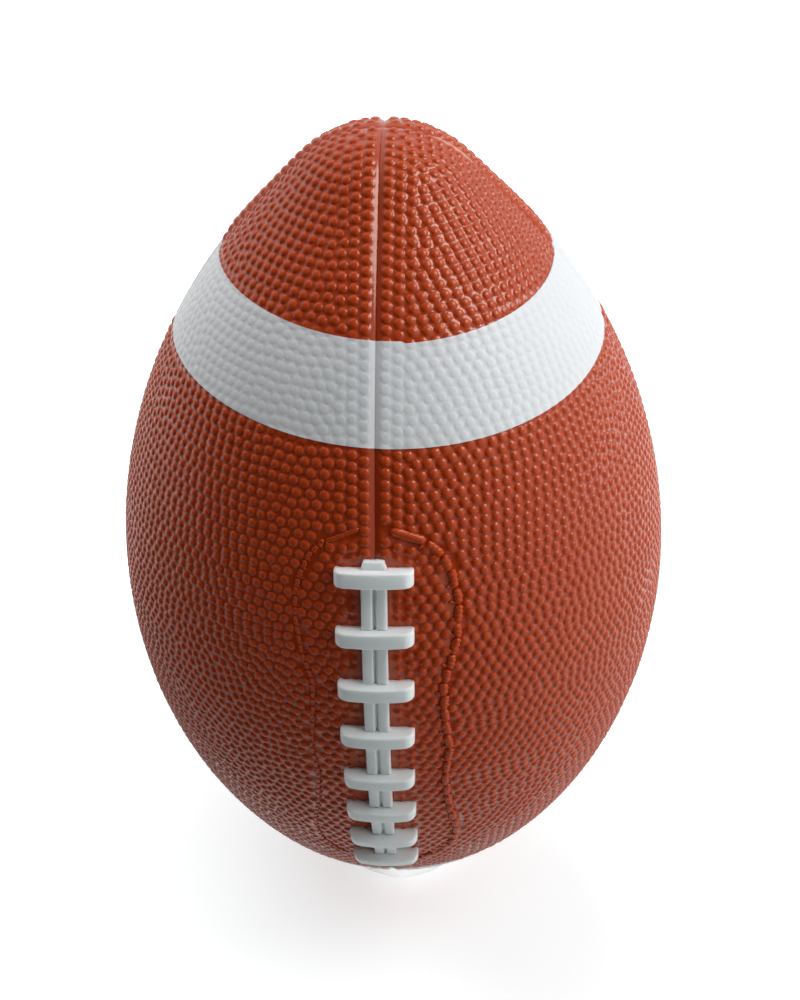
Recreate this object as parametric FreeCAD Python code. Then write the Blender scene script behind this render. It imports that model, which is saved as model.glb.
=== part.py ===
import FreeCAD, Part
import math
import os

# A moulded rubber football that stands on one tip in a low ring stand.
# Millimetres, +Z up. The origin is the centre of the ring's base on the floor, and the ball's
# long axis lies on Z. The laced seam faces -Y; the other three seams face +X, +Y and -X.

# Ball outline: a belly arc, a straight shoulder and a round tip, the same at both ends
ball_diameter = 168.0
ball_length = 280.0
tip_radius = 31.7
shoulder_angle = 45.6  # degrees between the shoulder and the long axis

# Wall of the ball, from the outside in
cover_thickness = 1.9
winding_thickness = 0.4
bladder_thickness = 0.8
seam_width = 1.2
seam_depth = 0.35

# Cover panels, going round from +X
panel_names = ("panel_back_right", "panel_back_left", "panel_front_left", "panel_front_right")

# White bands, as distances from the ball's middle along its long axis
stripe_inner_height = 84.8
stripe_outer_height = 105.9
stripe_thickness = 0.3

# Lace: a flat spine on the seam with cross bars over it
lace_bar_count = 8
lace_bar_pitch = 16.15
lace_bar_length = 19.4
lace_bar_width = 4.5
lace_bar_height = 4.25
lace_bar_bow_radius = 45.0
lace_bar_end_radius = 4.0
lace_bar_edge_radius = 0.8
lace_spine_width = 6.4
lace_spine_height = 1.6
lace_groove_width = 0.7
lace_groove_depth = 1.0
lace_tab_length = 2.6
lace_tab_end_width = 5.2

# Inflation valve, in the middle of a rear panel
valve_angle = 45.0  # degrees from +X towards +Y
valve_tube_radius = 5.0
valve_core_radius = 3.0
valve_needle_radius = 1.0
valve_flange_radius = 9.0
valve_flange_thickness = 1.5
valve_length = 18.0
valve_housing_recess = 0.2
valve_core_recess = 0.5

# Ring stand
stand_diameter = 52.8
stand_wall = 6.5
stand_edge_radius = 0.6
seat_depth = 1.8  # height of the seat inside the rim
seat_clearance = 0.3
tip_clearance = 1.5  # between the ball's lower tip and the floor

# Worked out from the sizes above
ball_radius = ball_diameter / 2
half_length = ball_length / 2
ball_middle = tip_clearance + half_length
shoulder = math.radians(shoulder_angle)
tip_middle = half_length - tip_radius
belly_radius = (
    math.sin(shoulder) * tip_middle + tip_radius - math.cos(shoulder) * ball_radius
) / (1 - math.cos(shoulder))
belly_middle = ball_radius - belly_radius
winding_offset = -cover_thickness
bladder_offset = winding_offset - winding_thickness
air_offset = bladder_offset - bladder_thickness
panel_angle = 360.0 / len(panel_names)
stand_radius = stand_diameter / 2
stand_bore_radius = stand_radius - stand_wall
outside = ball_length  # longer than any piece, for cutting tools

Vector = FreeCAD.Vector
axis_foot = Vector(0, 0, 0)
up = Vector(0, 0, 1)


def belly_point(angle, offset):
    """Radius and height of a belly point, whose normal rises by angle, moved out by offset."""
    radius = belly_radius + offset
    return belly_middle + radius * math.cos(angle), radius * math.sin(angle)


def tip_point(angle, offset):
    """Radius and height of a point on the upper tip, whose normal rises by angle."""
    radius = tip_radius + offset
    return radius * math.cos(angle), tip_middle + radius * math.sin(angle)


def on_outline(point, side=1):
    """A point of the outline in the XZ plane; side is -1 for the lower half of the ball."""
    return Vector(point[0], 0, ball_middle + side * point[1])


def height_at_radius(radius):
    """Height above the ball's middle of the outline's point at that radius."""
    if radius <= tip_point(shoulder, 0)[0]:
        return tip_middle + math.sqrt(tip_radius**2 - radius**2)
    if radius <= belly_point(shoulder, 0)[0]:
        tip_edge = tip_point(shoulder, 0)
        return tip_edge[1] - (radius - tip_edge[0]) / math.tan(shoulder)
    return math.sqrt(belly_radius**2 - (radius - belly_middle) ** 2)


def half_outline(offset):
    """Edges of the ball's half outline from the lower tip to the upper one, moved out by offset."""
    edges = []
    half_way = (shoulder + math.pi / 2) / 2
    for side in (-1, 1):
        belly_end = on_outline(belly_point(shoulder, offset), side)
        tip_start = on_outline(tip_point(shoulder, offset), side)
        tip_bend = on_outline(tip_point(half_way, offset), side)
        tip_end = on_outline((0, half_length + offset), side)
        edges.append(Part.LineSegment(belly_end, tip_start).toShape())
        edges.append(Part.Arc(tip_start, tip_bend, tip_end).toShape())
    belly_ends = [on_outline(belly_point(shoulder, offset), side) for side in (-1, 1)]
    widest = on_outline(belly_point(0, offset))
    edges.append(Part.Arc(belly_ends[0], widest, belly_ends[1]).toShape())
    return edges


def face_of(edges):
    """The flat face inside edges, given in any order."""
    return Part.Face(Part.Wire(Part.__sortEdges__(edges)))


def ball_solid(offset):
    """The whole ball as one solid, moved out by offset."""
    tips = [on_outline((0, half_length + offset), side) for side in (-1, 1)]
    axis = Part.LineSegment(tips[0], tips[1]).toShape()
    return face_of(half_outline(offset) + [axis]).revolve(axis_foot, up, 360)


def wall(outer_offset, inner_offset, start=0, angle=360):
    """A layer of the ball between two offsets, from start degrees on about the long axis."""
    edges = half_outline(outer_offset) + half_outline(inner_offset)
    for side in (-1, 1):
        outer_tip = on_outline((0, half_length + outer_offset), side)
        inner_tip = on_outline((0, half_length + inner_offset), side)
        edges.append(Part.LineSegment(outer_tip, inner_tip).toShape())
    section = face_of(edges)
    section.rotate(axis_foot, up, start)
    return section.revolve(axis_foot, up, angle)


def valve_cylinder(radius, inner_end, outer_end):
    """A round bar on the valve's axis between two distances from the ball's long axis."""
    bar = Part.makeCylinder(
        radius, outer_end - inner_end, Vector(inner_end, 0, ball_middle), Vector(1, 0, 0)
    )
    bar.rotate(axis_foot, up, valve_angle)
    return bar


def make_bladder():
    """The air-tight inner skin, with a hole for the valve."""
    return wall(bladder_offset, air_offset).cut(valve_hole())


def make_winding():
    """The wound thread layer round the bladder, as one even skin."""
    return wall(winding_offset, bladder_offset).cut(valve_hole())


def valve_hole():
    """The cutting tool for the valve's way through the wall."""
    return valve_cylinder(valve_tube_radius, ball_radius - valve_length, ball_radius + outside)


def make_valve_housing():
    """The valve's tube through the wall, with a flange against the inside of the bladder."""
    inner_end = ball_radius - valve_length
    flange = valve_cylinder(valve_flange_radius, inner_end, ball_radius)
    flange = flange.common(wall(air_offset, air_offset - valve_flange_thickness))
    tube = valve_cylinder(valve_tube_radius, inner_end, ball_radius + outside)
    tube = tube.common(ball_solid(-valve_housing_recess))
    core_hole = valve_cylinder(valve_core_radius, inner_end - outside, ball_radius + outside)
    return tube.fuse(flange).cut(core_hole).removeSplitter()


def make_valve_core():
    """The plug in the housing, with the channel that the pump's needle goes through."""
    inner_end = ball_radius - valve_length
    outer_end = ball_radius - valve_core_recess
    plug = valve_cylinder(valve_core_radius, inner_end, outer_end)
    return plug.cut(valve_cylinder(valve_needle_radius, inner_end, outer_end))


def seam_tool():
    """The grooves where the panels meet, as one cutting tool round the whole ball."""
    slabs = []
    for index in range(len(panel_names)):
        slab = Part.makeBox(outside, seam_width, 2 * outside)
        slab.translate(Vector(0, -seam_width / 2, ball_middle - outside))
        slab.rotate(axis_foot, up, index * panel_angle)
        slabs.append(slab)
    return wall(seam_depth, -seam_depth).common(slabs[0].fuse(slabs[1:]))


def make_panels():
    """The cover panels by name, with the valve's hole in the one that holds it."""
    seams = seam_tool()
    panels = {}
    for index, name in enumerate(panel_names):
        panel = wall(0, winding_offset, index * panel_angle, panel_angle)
        panels[name] = panel.cut(seams)
    valve_panel = panel_names[int(valve_angle // panel_angle)]
    panels[valve_panel] = panels[valve_panel].cut(valve_hole())
    return panels


def make_stripe(side):
    """One white band round the ball; side is 1 for the upper band and -1 for the lower one."""
    low, high = sorted((side * stripe_inner_height, side * stripe_outer_height))
    slice_foot = Vector(0, 0, ball_middle + low)
    return wall(stripe_thickness, 0).common(Part.makeCylinder(outside, high - low, slice_foot))


def lace_strip(low_angle, high_angle, bottom, top, width):
    """A strip along the laced seam, between two belly angles and two offsets from the ball."""
    corners = []
    for offset in (bottom, top):
        for angle in (low_angle, (low_angle + high_angle) / 2, high_angle):
            radius, height = belly_point(angle, offset)
            corners.append(Vector(-width / 2, -radius, ball_middle + height))
    edges = [Part.Arc(*corners[:3]).toShape(), Part.Arc(*corners[3:]).toShape()]
    for end in (0, 2):
        edges.append(Part.LineSegment(corners[end], corners[end + 3]).toShape())
    return face_of(edges).extrude(Vector(width, 0, 0))


def lace_bar_angle(index):
    """Belly angle of a cross bar's middle, counted from the top one."""
    return ((lace_bar_count - 1) / 2 - index) * lace_bar_pitch / belly_radius


def make_spine_blank():
    """The spine before its groove is cut: it tapers to a tab past the first and the last bar."""
    bar_half = lace_bar_width / 2 / belly_radius
    tab_start = lace_bar_angle(0) + bar_half
    tab_end = tab_start + lace_tab_length / belly_radius
    strip = lace_strip(-tab_end, tab_end, -lace_spine_height, lace_spine_height, lace_spine_width)
    start_height = belly_point(tab_start, 0)[1]
    end_height = belly_point(tab_end, lace_spine_height)[1]
    half_plan = [
        (lace_spine_width / 2, start_height),
        (lace_tab_end_width / 2, end_height),
    ]
    corners = [(side * x, z) for side in (1, -1) for x, z in half_plan[::side]]
    corners += [(-x, -z) for x, z in corners]
    plan = [Vector(x, 0, ball_middle + z) for x, z in corners]
    prism = Part.Face(Part.makePolygon(plan + plan[:1])).extrude(Vector(0, -outside, 0))
    return strip.common(prism)


def make_spine(blank, ball):
    """The spine, with its groove in each space between two bars."""
    bar_half = lace_bar_width / 2 / belly_radius
    spine = blank.cut(ball)
    for index in range(lace_bar_count - 1):
        groove = lace_strip(
            lace_bar_angle(index + 1) + bar_half,
            lace_bar_angle(index) - bar_half,
            lace_spine_height - lace_groove_depth,
            lace_spine_height + lace_groove_depth,
            lace_groove_width,
        )
        spine = spine.cut(groove)
    return spine


def make_bar(index, spine_blank, ball):
    """One cross bar: a bowed outer face with round ends, seated on the ball and over the spine."""
    half = lace_bar_length / 2
    bow_middle = lace_bar_height - lace_bar_bow_radius
    reach = lace_bar_bow_radius - lace_bar_end_radius
    end_x = half - lace_bar_end_radius
    end_y = bow_middle + math.sqrt(reach**2 - end_x**2)
    lean = math.asin(end_x / reach)
    end_bend = (math.pi / 2 - lean) / 2
    foot = -lace_bar_height

    def corner(side, angle):
        """A point on the round end at that side, whose normal rises by angle."""
        x = end_x + lace_bar_end_radius * math.cos(angle)
        y = end_y + lace_bar_end_radius * math.sin(angle)
        return Vector(side * x, y, 0)

    edges = []
    for side in (-1, 1):
        low = Vector(side * half, foot, 0)
        edges.append(Part.LineSegment(low, corner(side, 0)).toShape())
        arc = [corner(side, turn * end_bend) for turn in range(3)]
        edges.append(Part.Arc(*arc).toShape())
    crown = Vector(0, lace_bar_height, 0)
    bow_ends = [corner(side, 2 * end_bend) for side in (-1, 1)]
    edges.append(Part.Arc(bow_ends[0], crown, bow_ends[1]).toShape())
    edges.append(Part.LineSegment(Vector(-half, foot, 0), Vector(half, foot, 0)).toShape())
    bar = face_of(edges).extrude(Vector(0, 0, lace_bar_width))
    bar.translate(Vector(0, 0, -lace_bar_width / 2))
    outer_edges = [edge for edge in bar.Edges if is_outer_edge(edge)]
    bar = bar.makeFillet(lace_bar_edge_radius, outer_edges)

    angle = lace_bar_angle(index)
    radius, height = belly_point(angle, 0)
    bar.rotate(axis_foot, up, 180)
    bar.rotate(axis_foot, Vector(1, 0, 0), -math.degrees(angle))
    bar.translate(Vector(0, -radius, ball_middle + height))
    return bar.cut(ball).cut(spine_blank)


def is_outer_edge(edge):
    """Whether an edge of the straight bar is one of the curved ones round its outer face."""
    return edge.BoundBox.ZLength < lace_bar_width / 2 and isinstance(edge.Curve, Part.Circle)


def make_stand(ball_room):
    """The ring stand, whose bore has a seat in the shape of the ball's tip."""
    seat_height = half_length - height_at_radius(stand_bore_radius)
    stand_height = tip_clearance + seat_height + seat_depth
    ring = Part.makeCylinder(stand_radius, stand_height)
    rims = [edge for edge in ring.Edges if isinstance(edge.Curve, Part.Circle)]
    ring = ring.makeFillet(stand_edge_radius, rims)
    ring = ring.cut(Part.makeCylinder(stand_bore_radius, stand_height))
    return ring.cut(ball_room)


def make_all():
    """Every piece of the ball and its stand, by node name."""
    ball = ball_solid(0)
    spine_blank = make_spine_blank()
    pieces = {
        "stand_ring": make_stand(ball_solid(seat_clearance)),
        "bladder": make_bladder(),
        "carcass_winding": make_winding(),
        "valve_housing": make_valve_housing(),
        "valve_core": make_valve_core(),
        "stripe_band_upper": make_stripe(1),
        "stripe_band_lower": make_stripe(-1),
        "lace_spine": make_spine(spine_blank, ball),
    }
    pieces.update(make_panels())
    for index in range(lace_bar_count):
        pieces[f"lace_bar_{index + 1}"] = make_bar(index, spine_blank, ball)
    return pieces


os.makedirs("parts", exist_ok=True)
for node, shape in make_all().items():
    print(f"{node}: {len(shape.Solids)} solid, {shape.Volume:.0f} mm3, valid {shape.isValid()}")
    shape.exportStep(f"parts/{node}.step")
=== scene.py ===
"""Moulded rubber football standing on its tip in a low white ring stand."""
import logging
import math
from dataclasses import dataclass, field, replace
from enum import Enum
from typing import Any

import bpy
import numpy as np
from bpy.types import Material, Node, NodeSocket, NodeTree, Object
from mathutils import Matrix, Vector
from mathutils.geometry import delaunay_2d_cdt


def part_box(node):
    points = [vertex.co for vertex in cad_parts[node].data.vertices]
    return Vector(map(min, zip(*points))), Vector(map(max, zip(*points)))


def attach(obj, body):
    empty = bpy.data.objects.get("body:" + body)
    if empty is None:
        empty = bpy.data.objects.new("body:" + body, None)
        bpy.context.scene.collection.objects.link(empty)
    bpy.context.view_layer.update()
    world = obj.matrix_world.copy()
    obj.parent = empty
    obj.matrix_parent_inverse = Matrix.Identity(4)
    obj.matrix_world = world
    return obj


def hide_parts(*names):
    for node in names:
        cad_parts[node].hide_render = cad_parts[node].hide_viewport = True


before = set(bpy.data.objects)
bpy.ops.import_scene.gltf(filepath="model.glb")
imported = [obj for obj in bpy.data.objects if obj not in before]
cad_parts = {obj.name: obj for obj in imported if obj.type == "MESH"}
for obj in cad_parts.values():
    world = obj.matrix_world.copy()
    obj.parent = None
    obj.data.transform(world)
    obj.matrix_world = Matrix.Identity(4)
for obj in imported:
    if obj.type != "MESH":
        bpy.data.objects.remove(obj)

log = logging.getLogger("football")

Array = np.ndarray
Pair = tuple[float, float]
Pairs = tuple[Pair, ...]

MM = 0.001
QUARTER = math.pi / 2.0
FULL_TURN = 2.0 * math.pi
RANGE = ("Value", "From Min", "From Max", "To Min", "To Max")


def linear(code: str) -> tuple[float, float, float, float]:
    """Turn an sRGB hex value into a linear colour.

    Args:
        code: Six hex digits after a hash sign.

    Returns:
        Red, green, blue and an alpha of one.
    """
    parts = [int(code[i:i + 2], 16) / 255.0 for i in (1, 3, 5)]
    red, green, blue = [p / 12.92 if p <= 0.04045 else ((p + 0.055) / 1.055) ** 2.4 for p in parts]
    return red, green, blue, 1.0


def feed(tree: NodeTree, node: Node, inputs: dict[str | int, Any]) -> None:
    """Fill a node's inputs.

    Args:
        tree: Node tree that holds the node.
        node: Node to fill.
        inputs: Input sockets by name or number, each with a value or an output socket to link.
    """
    for name, value in inputs.items():
        if isinstance(value, NodeSocket):
            tree.links.new(value, node.inputs[name])
        else:
            node.inputs[name].default_value = value


def add_node(
    tree: NodeTree,
    kind: str,
    inputs: dict[str | int, Any] | None = None,
    give: str | None = None,
    **settings: Any,
) -> NodeSocket:
    """Add one shader node.

    Args:
        tree: Node tree that takes the node.
        kind: Blender's name of the node type, after ShaderNode.
        inputs: Values or sockets for its inputs.
        give: Name of the output that is wanted, or None for the first one in use.
        settings: Properties of the node itself.

    Returns:
        The wanted output socket.
    """
    node = tree.nodes.new("ShaderNode" + kind)
    for name, value in settings.items():
        setattr(node, name, value)
    feed(tree, node, inputs or {})
    if give:
        return node.outputs[give]
    return next(socket for socket in node.outputs if socket.enabled)


def start_material(name: str) -> tuple[Material, NodeTree, NodeSocket]:
    """Start a material.

    Args:
        name: Name of the material.

    Returns:
        The material, its node tree and a socket that gives places on the piece in metres.
    """
    material = bpy.data.materials.new(name)
    material.use_nodes = True
    tree = material.node_tree
    return material, tree, add_node(tree, "TexCoord", give="Object")


def per_metre(size_mm: float) -> float:
    """Give the texture scale that repeats a pattern once in a length in millimetres."""
    return 1.0 / (size_mm * MM)


def mesh_object(
    name: str,
    points: Array,
    faces: Array,
    bake_map: Array | None = None,
    relief: Array | None = None,
    crisp: Array | None = None,
) -> Object:
    """Make a smooth triangle mesh object.

    Args:
        name: Name of the piece.
        points: Corner points in metres, one row each.
        faces: Three point numbers for each triangle, seen anticlockwise from outside.
        bake_map: Flat map place of each triangle corner, in the order of the faces.
        relief: Height of each point above the ball's plain surface in millimetres, for the finish.
        crisp: Number of the crisp ring that each point lies on, or -1; edges along a ring stay sharp.

    Returns:
        The object, linked to the scene.
    """
    mesh = bpy.data.meshes.new(name)
    mesh.from_pydata(points.tolist(), [], faces.tolist())
    mesh.polygons.foreach_set("use_smooth", np.ones(len(faces), dtype=bool))
    if bake_map is not None:
        layer = mesh.uv_layers.new(name="OFBake")
        layer.data.foreach_set("uv", bake_map.astype(np.float32).ravel())
    if relief is not None:
        layer = mesh.attributes.new("relief", "FLOAT", "POINT")
        layer.data.foreach_set("value", relief.astype(np.float32))
    mesh.update()
    if crisp is not None:
        ends = np.zeros(2 * len(mesh.edges), dtype=np.int32)
        mesh.edges.foreach_get("vertices", ends)
        rings = crisp[ends.reshape(-1, 2)]
        sharp = mesh.attributes.new("sharp_edge", "BOOLEAN", "EDGE")
        sharp.data.foreach_set("value", (rings[:, 0] >= 0) & (rings[:, 0] == rings[:, 1]))
    piece = bpy.data.objects.new(name, mesh)
    bpy.context.scene.collection.objects.link(piece)
    return piece


def ring_faces(low: Array, high: Array) -> Array:
    """Join closed rings of points with triangles.

    Args:
        low: Point numbers, one row for each ring.
        high: Point numbers of the ring that each of these is joined to.

    Returns:
        Three point numbers for each triangle.
    """
    after_low = np.roll(low, -1, axis=-1)
    after_high = np.roll(high, -1, axis=-1)
    first = np.stack((low, after_low, after_high), axis=-1)
    second = np.stack((low, after_high, high), axis=-1)
    return np.concatenate((first.reshape(-1, 3), second.reshape(-1, 3)))


def fan(loop: Array) -> Array:
    """Fill a closed ring of points with triangles that share its first point."""
    return np.column_stack((np.full(len(loop) - 2, loop[0]), loop[1:-1], loop[2:]))


@dataclass(frozen=True)
class MouldedRubber:
    """Moulded butyl-blend rubber, pebbled in the mould."""

    # The mould leaves the valleys smooth, so they keep small sharp lights. Handling scuffs the tops a little
    # duller. The valleys take a slightly darker colour than the tops: painted shade between the pebbles.
    # The real skin is too fine for the picture, so its grain is drawn coarser.
    name: str = "moulded_rubber"
    # valley is darker than deep and worn: painted shade on the low skin between the pebbles.
    valley: str = "#AF3A0D"
    deep: str = "#B33C0E"
    worn: str = "#BE450F"
    glint: str = "#FFF9ED"
    valley_mm: Pair = (0.02, 0.36)
    patch_mm: float = 26.0
    grain_mm: float = 0.7
    grain_depth: float = 0.05
    grain_strength: float = 0.25
    grain_span: Pair = (0.3, 0.7)
    roughness: float = 0.18
    roughness_swing: float = 0.05
    top_roughness: float = 0.08
    valley_shine: float = 0.75
    top_shine: float = 0.5
    ior: float = 1.5

    def make(self) -> Material:
        """Build the material: slow colour patches, fine skin grain, painted shade in the valleys and gloss
        that follows the pebbles.

        Returns:
            The finished material.
        """
        material, tree, place = start_material(self.name)
        noise = {"Vector": place, "Scale": per_metre(self.patch_mm), "Detail": 4.0}
        patch = add_node(tree, "TexNoise", noise)
        noise = {"Vector": place, "Scale": per_metre(self.grain_mm), "Detail": 2.0}
        grain = add_node(tree, "TexNoise", noise)
        tints = {"Factor": patch, "A": linear(self.deep), "B": linear(self.worn)}
        colour = add_node(tree, "Mix", tints, data_type="RGBA")
        height = add_node(tree, "Attribute", give="Fac", attribute_name="relief")
        ramp = dict(zip(RANGE, (height, *self.valley_mm)))
        raised = add_node(tree, "MapRange", ramp, interpolation_type="SMOOTHSTEP")
        swing = (self.roughness - self.roughness_swing, self.roughness + self.roughness_swing)
        gloss = add_node(tree, "MapRange", dict(zip(RANGE, (grain, *self.grain_span, *swing))))
        # Where the skin lies low it takes the darker valley colour: painted shade between the pebbles.
        skin = {"Factor": raised, "A": linear(self.valley), "B": colour}
        duller = {0: raised, 1: self.top_roughness, 2: gloss}
        shine = dict(zip(RANGE, (raised, 0.0, 1.0, self.valley_shine, self.top_shine)))
        bump = {"Height": grain, "Strength": self.grain_strength, "Distance": self.grain_depth * MM}
        feed(tree, tree.nodes["Principled BSDF"], {
            "Base Color": add_node(tree, "Mix", skin, data_type="RGBA"),
            "Roughness": add_node(tree, "Math", duller, operation="MULTIPLY_ADD"),
            "Normal": add_node(tree, "Bump", bump),
            "Specular IOR Level": add_node(tree, "MapRange", shine),
            "Specular Tint": linear(self.glint),
            "IOR": self.ior,
        })
        return material


@dataclass(frozen=True)
class SatinPlastic:
    """Opaque moulded or cast plastic or rubber: an even body with a faint cloud and fine grain."""

    # The real grain is too fine for the picture, so it is drawn coarser.
    name: str
    light: str
    shade: str
    roughness: float
    roughness_swing: float = 0.15
    cloud_mm: float = 18.0
    grain_mm: float = 0.8
    grain_depth: float = 0.05
    grain_strength: float = 0.15
    ior: float = 1.5
    scatter_mm: float = 0.0

    def make(self) -> Material:
        """Build the material: a faint colour cloud, gloss that follows it and fine grain.

        Returns:
            The finished material.
        """
        material, tree, place = start_material(self.name)
        noise = {"Vector": place, "Scale": per_metre(self.cloud_mm), "Detail": 3.0}
        cloud = add_node(tree, "TexNoise", noise)
        noise = {"Vector": place, "Scale": per_metre(self.grain_mm), "Detail": 2.0}
        grain = add_node(tree, "TexNoise", noise)
        tints = {"Factor": cloud, "A": linear(self.shade), "B": linear(self.light)}
        swing = (self.roughness * (1.0 - self.roughness_swing), self.roughness * (1.0 + self.roughness_swing))
        bump = {"Height": grain, "Strength": self.grain_strength, "Distance": self.grain_depth * MM}
        looks = {
            "Base Color": add_node(tree, "Mix", tints, data_type="RGBA"),
            "Roughness": add_node(tree, "MapRange", dict(zip(RANGE, (cloud, 0.0, 1.0, *swing)))),
            "Normal": add_node(tree, "Bump", bump),
            "IOR": self.ior,
        }
        if self.scatter_mm:
            looks["Subsurface Weight"] = 1.0
            looks["Subsurface Radius"] = (1.0, 1.0, 1.0)
            looks["Subsurface Scale"] = self.scatter_mm * MM
        feed(tree, tree.nodes["Principled BSDF"], looks)
        return material


@dataclass(frozen=True)
class WoundThread:
    """Nylon thread wound in layers over the bladder."""

    # The crossing strands give a soft sheen with fine dark gaps. They are drawn coarser than real
    # thread, so that they show. The wave texture has 20 / (2 pi) bands to a unit of its scale.
    name: str = "wound_nylon"
    strand: str = "#E2DDCB"
    gap: str = "#B5AE98"
    strand_mm: float = 1.6
    crossing: float = 0.6
    bump_strength: float = 0.5
    bump_depth: float = 0.2
    roughness: float = 0.6

    def make(self) -> Material:
        """Build the material: two crossing sets of strands.

        Returns:
            The finished material.
        """
        material, tree, place = start_material(self.name)
        waves = {"Scale": per_metre(self.strand_mm) / 20.0 * FULL_TURN, "Distortion": 1.5, "Detail": 2.0}
        layers = []
        for angle in (self.crossing, -self.crossing):
            turned = add_node(tree, "Mapping", {"Vector": place, "Rotation": (angle, angle, 0.0)})
            layers.append(add_node(tree, "TexWave", waves | {"Vector": turned}, "Fac", bands_direction="Z"))
        weave = add_node(tree, "Math", dict(enumerate(layers)), operation="MAXIMUM")
        tints = {"Factor": weave, "A": linear(self.gap), "B": linear(self.strand)}
        bump = {"Height": weave, "Strength": self.bump_strength, "Distance": self.bump_depth * MM}
        feed(tree, tree.nodes["Principled BSDF"], {
            "Base Color": add_node(tree, "Mix", tints, data_type="RGBA"),
            "Normal": add_node(tree, "Bump", bump),
            "Roughness": self.roughness,
        })
        return material


@dataclass(frozen=True)
class BallForm:
    """Outline of the ball in millimetres: a belly arc, a straight shoulder and a round tip.

    A place on the ball is given by along, the length of the outline from the ball's middle, and
    turn, the angle round the long axis from the lace seam towards +X.
    """

    radius: float
    half_length: float
    middle: float
    tip_radius: float = 31.7
    shoulder: float = math.radians(45.6)

    @classmethod
    def from_frame(cls) -> "BallForm":
        """Read the ball's radius, length and height off a cover panel of the frame."""
        low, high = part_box("panel_front_right")
        bottom = round(low[2] / MM, 1)
        top = round(high[2] / MM, 1)
        return cls(round(high[0] / MM, 1), (top - bottom) / 2.0, (top + bottom) / 2.0)

    def inset(self, depth: float) -> "BallForm":
        """Give the same outline a little deeper in the ball."""
        return replace(
            self,
            radius=self.radius - depth,
            half_length=self.half_length - depth,
            tip_radius=self.tip_radius - depth,
        )

    @property
    def belly_radius(self) -> float:
        """Radius of the belly arc, which meets the shoulder smoothly."""
        rise = math.sin(self.shoulder) * (self.half_length - self.tip_radius)
        flat = math.cos(self.shoulder)
        return (rise + self.tip_radius - flat * self.radius) / (1.0 - flat)

    @property
    def belly_arc(self) -> float:
        """Length of the outline from the ball's middle to the shoulder."""
        return self.belly_radius * self.shoulder

    @property
    def shoulder_length(self) -> float:
        """Length of the straight stretch between belly and tip."""
        belly_end = self.radius - self.belly_radius * (1.0 - math.cos(self.shoulder))
        return (belly_end - self.tip_radius * math.cos(self.shoulder)) / math.sin(self.shoulder)

    @property
    def reach(self) -> float:
        """Length of the outline from the ball's middle to a tip."""
        tip_arc = self.tip_radius * (QUARTER - self.shoulder)
        return self.belly_arc + self.shoulder_length + tip_arc

    def lean(self, along: Array) -> Array:
        """Give the angle of the outward direction above the horizontal at places along the outline."""
        far = np.abs(along)
        belly = np.minimum(far, self.belly_arc) / self.belly_radius
        tip = np.maximum(far - self.belly_arc - self.shoulder_length, 0.0) / self.tip_radius
        return np.sign(along) * (belly + tip)

    def outline(self, along: Array) -> tuple[Array, Array]:
        """Follow the outline.

        Args:
            along: Lengths along the outline from the ball's middle.

        Returns:
            Distance from the long axis and height above the ball's middle.
        """
        far = np.abs(along)
        belly = np.minimum(far, self.belly_arc) / self.belly_radius
        straight = np.clip(far - self.belly_arc, 0.0, self.shoulder_length)
        tip = self.shoulder + np.maximum(far - self.belly_arc - self.shoulder_length, 0.0) / self.tip_radius
        across = (
            self.radius
            - self.belly_radius * (1.0 - np.cos(belly))
            - straight * math.sin(self.shoulder)
            - self.tip_radius * (math.cos(self.shoulder) - np.cos(tip))
        )
        up = (
            self.belly_radius * np.sin(belly)
            + straight * math.cos(self.shoulder)
            + self.tip_radius * (np.sin(tip) - math.sin(self.shoulder))
        )
        return np.maximum(across, 0.0), np.sign(along) * up

    def place(self, along: Array, turn: Array, lift: Array) -> Array:
        """Turn places on the ball into points of the frame.

        Args:
            along: Lengths along the outline.
            turn: Angles round the long axis from the lace seam.
            lift: Heights above the ball's plain surface.

        Returns:
            Points in metres, one row each.
        """
        across, up = self.outline(along)
        lean = self.lean(along)
        across = across + lift * np.cos(lean)
        up = up + lift * np.sin(lean)
        return np.column_stack((across * np.sin(turn), -across * np.cos(turn), up + self.middle)) * MM


@dataclass
class Sheet:
    """A triangulated skin on the ball, each point with its place along and round it and its lift."""

    along: Array
    turn: Array
    lift: Array
    faces: Array

    @classmethod
    def joined(cls, parts: list["Sheet"]) -> "Sheet":
        """Put several sheets together as one.

        Args:
            parts: The sheets, in order.

        Returns:
            One sheet with all their points and triangles.
        """
        shifts = np.cumsum([0] + [len(part.along) for part in parts[:-1]])
        faces = [part.faces + shift for part, shift in zip(parts, shifts)]
        columns = zip(*((part.along, part.turn, part.lift) for part in parts))
        return cls(*(np.concatenate(column) for column in columns), np.concatenate(faces))

    def clipped(self, inside: Array) -> "Sheet":
        """Cut the sheet along the zero line of a field.

        Args:
            inside: A value at each point, positive where the sheet is kept.

        Returns:
            The kept part, with new points where the line crosses the triangles.
        """
        keep = inside > 0.0
        count = keep[self.faces].sum(axis=1)
        faces = self.faces[count == 3].tolist()
        values = np.column_stack((self.along, self.turn, self.lift))
        extra: list[Array] = []
        crossings: dict[tuple[int, int], int] = {}
        for face in self.faces[(count > 0) & (count < 3)].tolist():
            corners: list[int] = []
            for here, after in zip(face, face[1:] + face[:1]):
                if keep[here]:
                    corners.append(here)
                if keep[here] != keep[after]:
                    pair = (min(here, after), max(here, after))
                    if pair not in crossings:
                        share = inside[pair[0]] / (inside[pair[0]] - inside[pair[1]])
                        extra.append(values[pair[0]] * (1.0 - share) + values[pair[1]] * share)
                        crossings[pair] = len(values) + len(extra) - 1
                    corners.append(crossings[pair])
            faces += [[corners[0], corners[i], corners[i + 1]] for i in range(1, len(corners) - 1)]
        if extra:
            values = np.vstack((values, extra))
        used, renumbered = np.unique(np.array(faces), return_inverse=True)
        return Sheet(*values[used].T, renumbered.reshape(-1, 3))


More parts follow.
